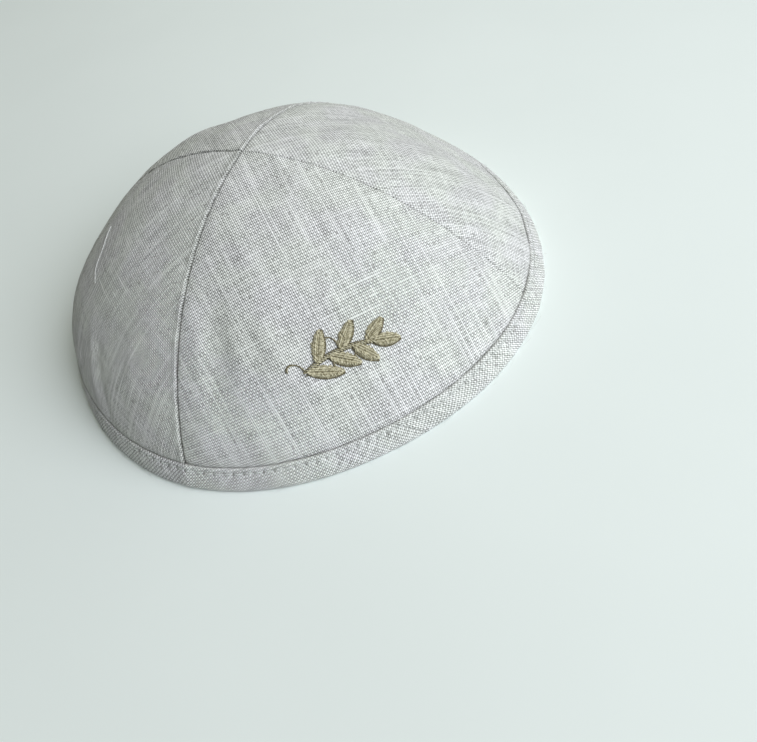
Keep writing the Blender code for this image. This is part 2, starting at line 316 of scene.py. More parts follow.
def build_allowance(panel, width=0.0052, columns=7, rows=90):
    """The seam allowances inside, pressed flat beside the seam at the panel's end."""
    share_line = np.linspace(0.055, share_above_rim(BINDING_WIDTH * 0.75), rows)
    side_line = np.linspace(-1, 1, columns)
    side, share = np.meshgrid(side_line, share_line)
    seed = 60 + PANELS.index(panel)
    ragged = 0.00018 * ripples(share * MERIDIAN, 0 * share, seed, 0.002, 0.009, 9)
    reach = (width / 2 * (side + 1) + ragged * (side + 1) / 2) / half_width(share)
    thickness = 0.00045 * (1 - side**6)
    sheets, quads, maps = [], [], []
    for number, depth in enumerate((-CLOTH_THICKNESS + 0 * side, -CLOTH_THICKNESS - thickness)):
        across = 1 - np.minimum(reach, 1.9)
        sheets.append(crown_point(panel, across, share, depth).reshape(-1, 3))
        x, y = flat_cloth(across, share)
        maps.append(np.stack((x, y), axis=-1).reshape(-1, 2) * 1000)
        quads.append(grid_quads(rows, columns, first=number * rows * columns, flip=number == 1))
    points, quads, maps = np.concatenate(sheets), np.concatenate(quads), np.concatenate(maps)
    marks = {"crease": np.zeros(len(points))}
    made = link_mesh(panel + "_allowance", points, quads, {"cloth": maps[quads]}, marks)
    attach(made, "root")
    return made


class Graph:
    """Adds nodes to a node tree and joins them."""

    def __init__(self, tree):
        self.tree = tree

    def node(self, kind, inputs=None, **settings):
        made = self.tree.nodes.new("ShaderNode" + kind)
        for name, value in settings.items():
            setattr(made, name, value)
        for name, value in (inputs or {}).items():
            self.feed(made.inputs[name], value)
        return made

    def feed(self, socket, value):
        if isinstance(value, bpy.types.NodeSocket):
            self.tree.links.new(value, socket)
        else:
            socket.default_value = value

    def math(self, operation, *values, clamp=False):
        made = self.node("Math", operation=operation, use_clamp=clamp)
        for socket, value in zip(made.inputs, values):
            self.feed(socket, value)
        return made.outputs[0]

    def ramp(self, value, low, high, start=0.0, end=1.0):
        """Value from low to high, eased into start to end."""
        inputs = {"Value": value, "From Min": low, "From Max": high}
        inputs |= {"To Min": start, "To Max": end}
        return self.node("MapRange", inputs, interpolation_type="SMOOTHSTEP").outputs["Result"]

    def mix(self, share, first, second):
        inputs = {"Factor": share, "A": first, "B": second}
        made = self.node("Mix", data_type="FLOAT")
        for name, value in inputs.items():
            self.feed(made.inputs[name], value)
        return made.outputs[0]

    def mix_colour(self, share, first, second, blend="MIX"):
        made = self.node("Mix", data_type="RGBA", blend_type=blend)
        self.feed(made.inputs[0], share)
        self.feed(made.inputs[6], first)
        self.feed(made.inputs[7], second)
        return made.outputs[2]

    def noise(self, vector, scale, detail=2.0):
        inputs = {"Vector": vector, "Scale": scale, "Detail": detail}
        return self.node("TexNoise", inputs, noise_dimensions="2D").outputs["Fac"]

    def pair(self, x, y):
        return self.node("CombineXYZ", {"X": x, "Y": y}).outputs[0]


def new_group(name, inputs, outputs):
    """A shader node group, with its inner graph and its group input and output nodes."""
    tree = bpy.data.node_groups.new(name, "ShaderNodeTree")
    for label, kind, default in inputs:
        socket = tree.interface.new_socket(name=label, in_out="INPUT", socket_type=kind)
        if default is not None:
            socket.default_value = default
    for label, kind in outputs:
        tree.interface.new_socket(name=label, in_out="OUTPUT", socket_type=kind)
    graph = Graph(tree)
    given = tree.nodes.new("NodeGroupInput").outputs
    made = tree.nodes.new("NodeGroupOutput").inputs
    return graph, given, made


def linen_weave_group():
    """Plain weave of uneven yarns: how high, light, slubby and flecked each place is. Its
    lightness also holds painted light on the yarns' crowns and painted shade between them.
    """
    graph, given, made = new_group(
        "linen_weave",
        (
            ("Cloth", "NodeSocketVector", None),
            ("Warp Pitch", "NodeSocketFloat", 0.557),
            ("Weft Pitch", "NodeSocketFloat", 0.855),
            ("Wander", "NodeSocketFloat", 0.30),
            ("Slubs", "NodeSocketFloat", 1.0),
        ),
        (
            ("Height", "NodeSocketFloat"),
            ("Tone And Painted Shade", "NodeSocketFloat"),
            ("Slub", "NodeSocketFloat"),
            ("Fleck", "NodeSocketFloat"),
        ),
    )
    cloth = given["Cloth"]
    flat = graph.node("SeparateXYZ", {"Vector": cloth})
    wander_x = graph.math("SUBTRACT", graph.noise(cloth, 0.11, 1.0), 0.5)
    moved = graph.node("VectorMath", {0: cloth, 1: (31.7, 12.9, 0)}, operation="ADD").outputs[0]
    wander_y = graph.math("SUBTRACT", graph.noise(moved, 0.13, 1.0), 0.5)
    x = graph.math("MULTIPLY_ADD", wander_x, given["Wander"], flat.outputs["X"])
    y = graph.math("MULTIPLY_ADD", wander_y, given["Wander"], flat.outputs["Y"])
    x = graph.math("DIVIDE", x, given["Warp Pitch"])
    y = graph.math("DIVIDE", y, given["Weft Pitch"])
    uneven_x = graph.math("SUBTRACT", graph.noise(graph.pair(x, 3.3), 0.55, 1.0), 0.5)
    uneven_y = graph.math("SUBTRACT", graph.noise(graph.pair(7.1, y), 0.55, 1.0), 0.5)
    x = graph.math("MULTIPLY_ADD", uneven_x, 0.3, x)
    y = graph.math("MULTIPLY_ADD", uneven_y, 0.3, y)
    warp = graph.math("FLOOR", x)
    weft = graph.math("FLOOR", y)

    def yarn_noise(number, along, spread, scale, detail):
        place = graph.pair(graph.math("MULTIPLY", number, spread), along)
        return graph.noise(place, scale, detail)

    warp_slub = yarn_noise(warp, flat.outputs["Y"], 29.3, 0.016, 1.5)
    weft_slub = yarn_noise(weft, flat.outputs["X"], 41.9, 0.030, 2.0)
    warp_slub = graph.math("MULTIPLY", graph.ramp(warp_slub, 0.60, 0.71), given["Slubs"])
    weft_slub = graph.math("MULTIPLY", graph.ramp(weft_slub, 0.69, 0.82), given["Slubs"])
    # The ridges make each yarn's crown lighter and the dips between the yarns darker: painted
    # light and shade of the weave's relief
    ridge_x = graph.math("ABSOLUTE", graph.math("SINE", graph.math("MULTIPLY", x, math.pi)))
    ridge_y = graph.math("ABSOLUTE", graph.math("SINE", graph.math("MULTIPLY", y, math.pi)))
    rising = graph.math("COSINE", graph.math("MULTIPLY", graph.math("SUBTRACT", x, y), math.pi))
    falling = graph.math("COSINE", graph.math("MULTIPLY", graph.math("ADD", x, y), math.pi))
    over = graph.math("MULTIPLY", graph.math("SUBTRACT", rising, falling), 0.5)
    lead = graph.math("SUBTRACT", warp_slub, weft_slub)
    over = graph.math("MULTIPLY_ADD", lead, 0.35, over)
    warp_on_top = graph.ramp(over, -0.12, 0.12)
    warp_tone = yarn_noise(warp, flat.outputs["Y"], 17.3, 0.04, 3.0)
    weft_tone = yarn_noise(weft, flat.outputs["X"], 23.7, 0.10, 3.0)
    tone = graph.mix(warp_on_top, weft_tone, warp_tone)
    slub = graph.mix(warp_on_top, weft_slub, warp_slub)
    cell = graph.node("TexWhiteNoise", {"Vector": graph.pair(warp, weft)}, noise_dimensions="2D")
    fleck = graph.math("GREATER_THAN", cell.outputs["Value"], 0.996)
    # Painted light and shade: rising checks weigh less than falling ones, so the over-and-under
    # checks look lit from one side; tone, slubs and flecks are the yarns' own colour
    tone_and_painted_shade = graph.math("MULTIPLY_ADD", rising, 0.12, -0.47)
    tone_and_painted_shade = graph.math("MULTIPLY_ADD", falling, -0.21, tone_and_painted_shade)
    tone_and_painted_shade = graph.math("MULTIPLY_ADD", ridge_x, 1.00, tone_and_painted_shade)
    tone_and_painted_shade = graph.math("MULTIPLY_ADD", ridge_y, 0.66, tone_and_painted_shade)
    tone_and_painted_shade = graph.math("MULTIPLY_ADD", graph.math("SUBTRACT", tone, 0.5), 0.7, tone_and_painted_shade)
    tone_and_painted_shade = graph.math("MULTIPLY_ADD", graph.math("SUBTRACT", warp_tone, 0.5), 0.35, tone_and_painted_shade)
    cell_tone = graph.math("SUBTRACT", cell.outputs["Value"], 0.5)
    tone_and_painted_shade = graph.math("MULTIPLY_ADD", cell_tone, 0.20, tone_and_painted_shade)
    # A slub is thick enough to cover the yarns that cross it
    cover = graph.math(
        "MAXIMUM",
        graph.math("MULTIPLY", warp_slub, graph.ramp(ridge_x, 0.1, 0.8)),
        graph.math("MULTIPLY", weft_slub, graph.ramp(ridge_y, 0.1, 0.8)),
    )
    tone_and_painted_shade = graph.mix(graph.math("MULTIPLY", cover, 0.72), tone_and_painted_shade, 0.95)
    height = graph.math("MULTIPLY", graph.math("ADD", ridge_x, ridge_y), 0.4)
    height = graph.math("MULTIPLY_ADD", falling, -0.14, height)
    height = graph.math("MULTIPLY_ADD", slub, 0.5, height)
    graph.feed(made["Height"], height)
    graph.feed(made["Tone And Painted Shade"], graph.math("ADD", tone_and_painted_shade, 0.0, clamp=True))
    graph.feed(made["Slub"], slub)
    graph.feed(made["Fleck"], fleck)
    return graph.tree


def cloth_tint_group():
    """Uneven dye and pressing: a drift between a greener and a cooler cast, and soft shadow."""
    graph, given, made = new_group(
        "cloth_tint",
        (("Cloth", "NodeSocketVector", None), ("Cloud Size", "NodeSocketFloat", 18.0)),
        (("Cast", "NodeSocketFloat"), ("Depth", "NodeSocketFloat")),
    )
    scale = graph.math("DIVIDE", 1.0, given["Cloud Size"])
    graph.feed(made["Cast"], graph.ramp(graph.noise(given["Cloth"], scale, 3.0), 0.35, 0.65))
    moved = graph.node("VectorMath", {0: given["Cloth"], 1: (90.0, 40.0, 0)}, operation="ADD")
    fine = graph.math("MULTIPLY", scale, 3.0)
    graph.feed(made["Depth"], graph.ramp(graph.noise(moved.outputs[0], fine, 3.0), 0.3, 0.7))
    return graph.tree


WEAVE = linen_weave_group()
TINT = cloth_tint_group()


def linen_material(name, dark, light, fleck_colour, relief, slubs):
    """Linen of two mixed shades, with the yarns' own relief."""
    material = bpy.data.materials.new(name)
    material.use_nodes = True
    graph = Graph(material.node_tree)
    shader = material.node_tree.nodes["Principled BSDF"]
    place = graph.node("UVMap", uv_map="cloth").outputs["UV"]
    weave = graph.node("Group", node_tree=WEAVE)
    tint = graph.node("Group", node_tree=TINT)
    graph.feed(weave.inputs["Cloth"], place)
    weave.inputs["Slubs"].default_value = slubs
    graph.feed(tint.inputs["Cloth"], place)
    colour = graph.mix_colour(weave.outputs["Tone And Painted Shade"], (*dark, 1), (*light, 1))
    greener = graph.mix_colour(1.0, colour, (0.985, 1.0, 0.975, 1), "MULTIPLY")
    cooler = graph.mix_colour(1.0, colour, (0.985, 0.975, 1.0, 1), "MULTIPLY")
    colour = graph.mix_colour(tint.outputs["Cast"], greener, cooler)
    depth = graph.math("MULTIPLY", tint.outputs["Depth"], 0.07)
    colour = graph.mix_colour(depth, colour, (*dark, 1))
    colour = graph.mix_colour(
        graph.math("MULTIPLY", weave.outputs["Fleck"], 0.55), colour, (*fleck_colour, 1)
    )
    # Painted shade: creases, the binding's stitch holes, join and tucks, and the inside of the cap
    # turn towards a darker shadow colour
    crease = graph.node("Attribute", attribute_name="crease").outputs["Fac"]
    shadow = tuple(part * share for part, share in zip(dark, (0.5, 0.48, 0.40)))
    colour = graph.mix_colour(graph.math("MULTIPLY", crease, 0.75), colour, (*shadow, 1))
    graph.feed(shader.inputs["Base Color"], colour)
    roughness = graph.ramp(weave.outputs["Slub"], 0.0, 1.0, 0.88, 0.78)
    graph.feed(shader.inputs["Roughness"], roughness)
    shader.inputs["Specular IOR Level"].default_value = 0.25
    shader.inputs["Sheen Weight"].default_value = 0.12
    shader.inputs["Sheen Roughness"].default_value = 0.5
    bump = graph.node("Bump", {"Height": weave.outputs["Height"], "Strength": relief})
    bump.inputs["Distance"].default_value = 0.00022
    graph.feed(shader.inputs["Normal"], bump.outputs["Normal"])
    return material


LINEN = linen_material(
    "linen", (0.10, 0.10, 0.09), (0.97, 0.975, 0.955), (0.10, 0.09, 0.08), 0.8, slubs=1.0
)
for panel_name in PANELS:
    build_panel(panel_name).data.materials.append(LINEN)
    build_allowance(panel_name).data.materials.append(LINEN)

# Rim binding
# One strip of the same linen, cut on the bias, folded round all four hems and sewn through with
# one row of small stitches close under its top edge. Its two ends meet in a slanting join.

BINDING_COLUMNS = 1640
STITCH_BELOW_EDGE = 0.0016
STITCH_COUNT = 164
ROW_REACH = 0.00042
SEAM_LUMP = 0.00030
SEAM_LUMP_REACH = 0.0024
RIM_LENGTH = 4 * half_width(1.0) * 2
JOIN_TURN = 0.545  # quarters past the first seam
JOIN_SLANT = 1.0
# The folded strip's outline from its outer tuck to its inner one: up from the rim, and rise
BINDING_OUTLINE = (
    (0.00745, -0.0011),
    (0.00800, -0.0008),
    (0.00812, -0.0003),
    (0.00790, 0.00010),
    (0.00730, 0.00028),
    (0.00640, 0.00016),
    (0.00560, 0.00026),
    (0.00420, 0.00036),
    (0.00280, 0.00032),
    (0.00160, 0.00016),
    (0.00080, -0.00022),
    (0.00030, -0.00085),
    (0.00010, -0.0016),
    (0.00060, -0.0028),
    (0.00160, -0.0034),
    (0.00300, -0.0036),
    (0.00520, -0.0036),
    (0.00700, -0.0035),
    (0.00738, -0.0031),
    (0.00735, -0.0026),
)


def smooth_line(points, steps):
    """Catmull-Rom curve through points, evenly spaced by length."""
    points = np.asarray(points, float)
    before, after = 2 * points[:1] - points[1:2], 2 * points[-1:] - points[-2:-1]
    padded = np.concatenate((before, points, after))
    t = np.linspace(0, 1, 24, endpoint=False)[:, None]
    fine = []
    for a, b, c, d in zip(padded, padded[1:], padded[2:], padded[3:]):
        curve = 2 * b + (c - a) * t
        curve = curve + (2 * a - 5 * b + 4 * c - d) * t**2 + (3 * b - a - 3 * c + d) * t**3
        fine.append(0.5 * curve)
    fine = np.concatenate([*fine, points[-1:]])
    length = np.concatenate(([0], np.cumsum(np.linalg.norm(np.diff(fine, axis=0), axis=1))))
    wanted = np.linspace(0, length[-1], steps)
    even = [np.interp(wanted, length, values) for values in fine.T]
    return np.stack(even, axis=-1), wanted


def ring_points(turn, distance, rise):
    """Points round the whole cap. turn is 0 to 4, in quarters from the first seam."""
    turn = turn % 4
    result = np.zeros((*turn.shape, 3))
    for number, panel in enumerate(PANELS):
        inside = np.floor(turn) == number
        across = 2 * (turn[inside] - number) - 1
        share = share_above_rim(distance[inside])
        result[inside] = crown_point(panel, across, share, rise[inside])
    return result


def row_drift(along):
    """How far the row of stitches strays up or down, at this length round the rim."""
    return 0.00016 * ripples(along, 0 * along, 5, 0.02, 0.07, 9)


def seam_lumps(turn):
    """How far the binding is lifted where it crosses the bulk of the panels' seams."""
    away = [(turn - seam) / 4 * RIM_LENGTH for seam in range(5)]
    return sum(SEAM_LUMP * np.exp(-((reach / SEAM_LUMP_REACH) ** 2)) for reach in away)


def build_binding(section_points=50):
    outline, travelled = smooth_line(BINDING_OUTLINE, section_points)
    turn_line = np.arange(BINDING_COLUMNS) * 4 / BINDING_COLUMNS
    distance, turn = np.meshgrid(outline[:, 0], turn_line, indexing="ij")
    rise = np.repeat(outline[:, 1:2], BINDING_COLUMNS, axis=1)
    along = turn / 4 * RIM_LENGTH
    outer = np.clip((rise + 0.0006) / 0.0006, 0, 1)
    below_edge = BINDING_WIDTH - distance
    stitch_pitch = RIM_LENGTH / STITCH_COUNT
    row = np.exp(-(((below_edge - STITCH_BELOW_EDGE - row_drift(along)) / ROW_REACH) ** 2))
    to_hole = (along / stitch_pitch + 0.5) % 1 - 0.5
    hole = np.exp(-((to_hole * stitch_pitch / ROW_REACH) ** 2)) * row
    puffs = np.cos(2 * np.pi * along / stitch_pitch)
    puffs = puffs * np.exp(-(((below_edge - 0.0012) / 0.0016) ** 2))
    waves = ripples(along, distance, 6, 0.004, 0.014)
    slow = ripples(along, 0 * along, 8, 0.02, 0.06, 9)
    relief = -0.00013 * row - 0.00034 * hole - 0.00005 * puffs + 0.00006 * waves + 0.00008 * slow
    relief = relief + seam_lumps(turn)
    slant = (turn - JOIN_TURN) / 4 * RIM_LENGTH + JOIN_SLANT * (distance - BINDING_WIDTH / 2)
    relief = relief + 0.00022 * np.exp(-(((slant - 0.0009) / 0.0008) ** 2))
    relief = relief - 0.00030 * np.exp(-((slant / 0.00028) ** 2))
    points = ring_points(turn, distance, rise + relief * outer)
    points[..., 2] = np.maximum(points[..., 2], 0.0)
    # Painted shade: darker in the stitch holes, by an amount that drifts along the row, in the
    # slanting join, along the fold's top edge and on the leg tucked inside
    hole_shade_strength = 0.55 + 0.45 * ripples(along, 0 * along, 12, 0.004, 0.012, 9)
    crease = np.maximum(np.clip(hole * hole_shade_strength, 0, 1), 0.28 * np.exp(-((slant / 0.00026) ** 2)))
    crease = np.maximum(crease, np.clip((distance - BINDING_WIDTH) / 0.00012, 0, 1)) * outer
    tucked = np.clip((-rise - 0.0004) / 0.0004, 0, 1) * (distance > 0.007)
    crease = np.maximum(crease, 0.9 * tucked)
    columns = BINDING_COLUMNS
    row_number, column = np.meshgrid(
        np.arange(section_points - 1), np.arange(columns), indexing="ij"
    )
    after = (column + 1) % columns
    quads = np.stack(
        (
            row_number * columns + column,
            (row_number + 1) * columns + column,
            (row_number + 1) * columns + after,
            row_number * columns + after,
        ),
        axis=-1,
    ).reshape(-1, 4)
    corner_rows = np.stack((row_number, row_number + 1, row_number + 1, row_number), axis=-1)
    corner_columns = np.stack((column, column, column + 1, column + 1), axis=-1)
    length = corner_columns / columns * RIM_LENGTH
    depth = travelled[corner_rows]
    joined = (slant[:-1] > 0)[..., None]
    lean = np.where(joined, -1.0, 1.0) * math.radians(45)
    x = length * np.cos(lean) + depth * np.sin(lean) + np.where(joined, 0.3, 0.0)
    y = -length * np.sin(lean) + depth * np.cos(lean)
    strips = 6
    strip = (column * strips // columns)[..., None]
    bake_x = corner_columns * strips / columns - strip
    bake_y = (strip + 0.04 + 0.92 * depth / travelled[-1]) / strips
    made = link_mesh(
        "rim_binding_cloth",
        points,
        quads,
        {
            "OFBake": np.stack((0.005 + 0.99 * bake_x, bake_y), axis=-1),
            "cloth": np.stack((x, y), axis=-1) * 1000,
        },
        {"crease": crease},
    )
    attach(made, "root")
    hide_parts("rim_binding")
    return made


BIAS_LINEN = linen_material(
    "bias_linen", (0.13, 0.13, 0.12), (0.97, 0.975, 0.96), (0.12, 0.11, 0.10), 1.0, slubs=0.4
)
build_binding().data.materials.append(BIAS_LINEN)

# Rim stitching
# Lockstitch in thread of the cloth's own colour. Each stitch lies almost flush in the row's
# shallow groove and dives into the cloth at both ends.


def tube_mesh(name, paths, radii, sides=6):
    """Round strands along paths, joined into one mesh, with a map of mm along and share round."""
    points, quads, corners = [], [], []
    first = 0
    for path, radius in zip(paths, radii):
        path = np.asarray(path, float)
        heading = np.gradient(path, axis=0)
        heading /= np.linalg.norm(heading, axis=1, keepdims=True) + 1e-12
        reference = (0.0, 0.0, 1.0) if abs(heading[0, 2]) < 0.8 else (1.0, 0.0, 0.0)
        side = np.cross(heading, reference)
        side /= np.linalg.norm(side, axis=1, keepdims=True) + 1e-12
        up = np.cross(side, heading)
        turn = np.arange(sides) * 2 * np.pi / sides
        radius = np.broadcast_to(radius, len(path))[:, None, None]
        cosine, sine = np.cos(turn)[:, None], np.sin(turn)[:, None]
        ring = side[:, None] * cosine + up[:, None] * sine
        points.append((path[:, None] + ring * radius).reshape(-1, 3))
        station, corner = np.meshgrid(np.arange(len(path) - 1), np.arange(sides), indexing="ij")
        after = (corner + 1) % sides
        quads.append(
            first
            + np.stack(
                (
                    station * sides + corner,
                    station * sides + after,
                    (station + 1) * sides + after,
                    (station + 1) * sides + corner,
                ),
                axis=-1,
            ).reshape(-1, 4)
        )
        step = np.linalg.norm(np.diff(path, axis=0), axis=1)
        length = np.concatenate(([0], np.cumsum(step))) * 1000
        start, end = length[station], length[station + 1]
        along = np.stack((start, start, end, end), axis=-1)
        around = np.stack((corner, corner + 1, corner + 1, corner), axis=-1) / sides
        corners.append(np.stack((along, around), axis=-1).reshape(-1, 2))
        first += len(path) * sides
    maps = {"strand": np.concatenate(corners)}
    return link_mesh(name, np.concatenate(points), np.concatenate(quads), maps)


def strand_material(name, colour, shadow, roughness, twist):
    """Two-ply thread: slanting ply lines round the strand, with painted shade in between."""
    material = bpy.data.materials.new(name)
    material.use_nodes = True
    graph = Graph(material.node_tree)
    shader = material.node_tree.nodes["Principled BSDF"]
    strand = graph.node("UVMap", uv_map="strand").outputs["UV"]
    place = graph.node("SeparateXYZ", {"Vector": strand})
    turn = graph.math("MULTIPLY_ADD", place.outputs["X"], twist, place.outputs["Y"])
    ply = graph.math("SINE", graph.math("MULTIPLY", turn, 4 * math.pi))
    object_place = graph.node("NewGeometry").outputs["Position"]
    drift = graph.node("TexNoise", {"Vector": object_place, "Scale": 1400.0, "Detail": 2.0})
    # Painted shade darkens the grooves between the plies; the slow drift is the thread's own
    # random tone
    tone = graph.math("MULTIPLY_ADD", ply, 0.18, drift.outputs["Fac"])
    graph.feed(
        shader.inputs["Base Color"],
        graph.mix_colour(graph.ramp(tone, 0.28, 0.68), (*shadow, 1), (*colour, 1)),
    )
    shader.inputs["Roughness"].default_value = roughness
    shader.inputs["Sheen Weight"].default_value = 0.15
    bump = graph.node("Bump", {"Height": ply, "Strength": 0.5})
    bump.inputs["Distance"].default_value = 0.00003
    graph.feed(shader.inputs["Normal"], bump.outputs["Normal"])
    return material


def add_strands(name, paths, radii, material, slot, sides=6):
    """Joined strands that ride with the cap."""
    made = tube_mesh(name, paths, radii, sides)
    made.data.materials.append(material)
    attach(made, "root")
    return made


def build_stitches():
    pitch = 4 / STITCH_COUNT
    paths = []
    for number in range(STITCH_COUNT):
        turn = (number + np.linspace(0.07, 0.93, 9)) * pitch
        along = turn / 4 * RIM_LENGTH
        bow = np.sin(np.linspace(0, np.pi, 9)) ** 0.5
        rise = 0.00001 + 0.00022 * bow - 0.00032 * (1 - bow) + seam_lumps(turn)
        paths.append(ring_points(turn, BINDING_WIDTH - STITCH_BELOW_EDGE - row_drift(along), rise))
    return paths


COTTON = strand_material("cotton_thread", (0.74, 0.76, 0.74), (0.46, 0.47, 0.45), 0.7, 0.9)
add_strands("rim_stitches", build_stitches(), [0.00016] * STITCH_COUNT, COTTON, "bias_linen")

# Embroidered sprig
# A leafy sprig in raised satin stitch: slanting strands from each leaf's rib to its edge, over a
# low pad, with a rope-like stem, darker ribs and stem outlines, a dark strand of painted shade
# along one side of each leaf, and thin curled dark tendrils, each with a light strand of painted
# highlight beside it.

SPRIG_RISE = 0.0322
SPRIG_ASIDE = -0.0025
SPRIG_LENGTH = 0.0225
SPRIG_ARCH = 0.0026
LEAF_LENGTH = 0.0105
LEAF_WIDTH = 0.0036
LEAF_SPREAD = math.radians(44)
LEAF_PAIRS = 3
STRAND_SPACING = 0.00046
STRAND_RADIUS = 0.00021
STRAND_LIFT = 0.00070
PAD_HEIGHT = 0.00052
STEM_STRANDS = 26
STEM_WIDTH = 0.0009


def on_front(x, y, rise):
    """A point drawn flat on the front panel, x along the sprig and y up the panel."""
    x, y, rise = np.broadcast_arrays(np.asarray(x, float), y, rise)
    share = share_above_rim(SPRIG_RISE + y)
    across = (SPRIG_ASIDE + x) / half_width(share)
    cloth, _ = panel_relief("panel_front", across, share)
    return crown_point("panel_front", across, share, cloth + rise)


def stem_place(share):
    x = SPRIG_LENGTH * (share - 0.5)
    y = SPRIG_ARCH * (1 - (2 * share - 1) ** 2) - SPRIG_ARCH / 2
    return np.array((x, y)), math.atan(-4 * SPRIG_ARCH * (2 * share - 1) / SPRIG_LENGTH)


def sprig_leaves():
    """Foot, direction and length of every leaf."""
    leaves = []
    for pair in range(LEAF_PAIRS):
        for side in (-1, 1):
            share = (pair + 0.35 + 0.25 * side) / LEAF_PAIRS
            foot, direction = stem_place(share)
            leaves.append((foot, direction + side * LEAF_SPREAD, LEAF_LENGTH * (1 - 0.25 * share)))
    foot, direction = stem_place(0.95)
    leaves.append((foot, direction, LEAF_LENGTH * 0.8))
    return leaves


def leaf_width(share):
    return LEAF_WIDTH / 2 * np.sin(math.pi * (0.06 + 0.90 * share)) ** 0.85


def build_sprig():
    """Paths and radii of the light strands and of the dark ones, and the padding's mesh."""
    rng = np.random.default_rng(41)
    light, light_radii, dark, dark_radii = [], [], [], []
    pad_points, pad_quads = [], []
    for foot, direction, length in sprig_leaves():
        forward = np.array((math.cos(direction), math.sin(direction)))
        sideways = np.array((-forward[1], forward[0]))
        count = int(length / STRAND_SPACING)
        for half in (-1, 1):
            for number in range(count):
                share = (number + 0.5) / count
                start = share * 0.86 + 0.02 * rng.normal() / count
                end = min(1.0, share * 0.98 + 0.13 * (1 - share))
                reach = leaf_width(end) + 0.00012 * rng.normal()
                step = np.linspace(0, 1, 8)
                middle = foot + np.outer(start * length + (end - start) * length * step, forward)
                middle = middle + np.outer(half * reach * step, sideways)
                arch = np.sin(np.pi * (0.12 + 0.88 * step)) ** 0.7
                lift = STRAND_LIFT + 0.00012 * rng.normal()
                rise = -0.0001 + lift * arch * min(1, reach / 0.0009)
                light.append(on_front(middle[:, 0], middle[:, 1], rise))
                light_radii.append(STRAND_RADIUS + 0.00003 * rng.random())
        share = np.linspace(0, 1, 12)
        sides = np.linspace(-1, 1, 7)
        pad_share, pad_side = np.meshgrid(share, sides, indexing="ij")
        width = leaf_width(pad_share) * 0.92
        x = foot[0] + forward[0] * pad_share * length + sideways[0] * pad_side * width
        y = foot[1] + forward[1] * pad_share * length + sideways[1] * pad_side * width
        swell = np.sin(np.pi * (0.05 + 0.9 * pad_share)) ** 0.5
        rise = PAD_HEIGHT * (1 - np.abs(pad_side) ** 2.2) * swell
        first = sum(len(points) for points in pad_points)
        pad_points.append(on_front(x, y, rise - 0.00005).reshape(-1, 3))
        pad_quads.append(grid_quads(12, 7, first=first, flip=True))
        step = np.linspace(-0.02, 0.90, 16)
        rib = foot + np.outer(step * length, forward)
        dark.append(on_front(rib[:, 0], rib[:, 1], 0.00034 + 0 * step))
        dark_radii.append(STRAND_RADIUS)
        # Painted shade: a dark strand along only one side of each leaf
        step = np.linspace(0.02, 1.0, 22)
        edge = foot + np.outer(step * length, forward)
        edge = edge - np.outer(leaf_width(step) + 0.00016, sideways)
        dark.append(on_front(edge[:, 0], edge[:, 1], 0.00008 + 0 * step))
        dark_radii.append(0.00028)
    for number in range(STEM_STRANDS):
        share = number / STEM_STRANDS
        step = np.linspace(0, 1, 8)
        places = np.array([stem_place(min(1.0, share + 0.055 * value))[0] for value in step])
        _, direction = stem_place(share)
        offset = (0.5 - step) * STEM_WIDTH
        x = places[:, 0] - math.sin(direction) * offset
        y = places[:, 1] + math.cos(direction) * offset
        rise = 0.0001 + 0.00062 * np.sin(np.pi * (0.08 + 0.84 * step))
        light.append(on_front(x, y, rise))
        light_radii.append(STRAND_RADIUS)
    for side in (-1, 1):
        step = np.linspace(0, 1, 40)
        places = np.array([stem_place(value)[0] for value in step])
        places[:, 1] += side * 0.00062
        dark.append(on_front(places[:, 0], places[:, 1], 0.0001 + 0 * step))
        dark_radii.append(0.00016)
    for share, side, curl in ((0.02, 1, 1.1), (0.36, -1, -1.0), (0.52, 1, 0.8), (0.70, -1, -1.2)):
        foot, direction = stem_place(share)
        step = np.linspace(0, 1, 26)
        heading = direction + side * 1.35 + curl * 2.6 * step**1.6
        reach = 0.0078 * (1 - 0.2 * share)
        x = foot[0] + np.cumsum(np.cos(heading)) * reach / 26
        y = foot[1] + np.cumsum(np.sin(heading)) * reach / 26
        dark.append(on_front(x, y, 0.00016 + 0 * step))
        dark_radii.append(0.00019)
        # Painted highlight: a light strand laid beside each dark tendril, offset the same way on
        # all of them
        light.append(on_front(x + 0.00024, y - 0.00022, 0.00016 + 0 * step))
        light_radii.append(0.00014)
    padding = np.concatenate(pad_points), np.concatenate(pad_quads)
    return (light, light_radii), (dark, dark_radii), padding


SATIN = strand_material("khaki_thread", (0.62, 0.575, 0.41), (0.17, 0.145, 0.065), 0.42, 0.7)
DARK_SATIN = strand_material("olive_thread", (0.15, 0.125, 0.055), (0.05, 0.04, 0.015), 0.45, 0.7)
light_strands, dark_strands, (pad_points, pad_quads) = build_sprig()
satin = add_strands("sprig_satin", *light_strands, SATIN, "olive_thread")
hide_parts("embroidered_sprig")
add_strands("sprig_outlines_and_painted_shade", *dark_strands, DARK_SATIN, "olive_thread")
pad_map = pad_points[pad_quads][..., :2] * 1000
pad = link_mesh("sprig_padding", pad_points, pad_quads, {"strand": pad_map})
pad.data.materials.append(SATIN)
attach(pad, "root")

# Loose fibres
# The fuzz that stands off the binding's fold, and one stray white thread that lies on the left
# panel.


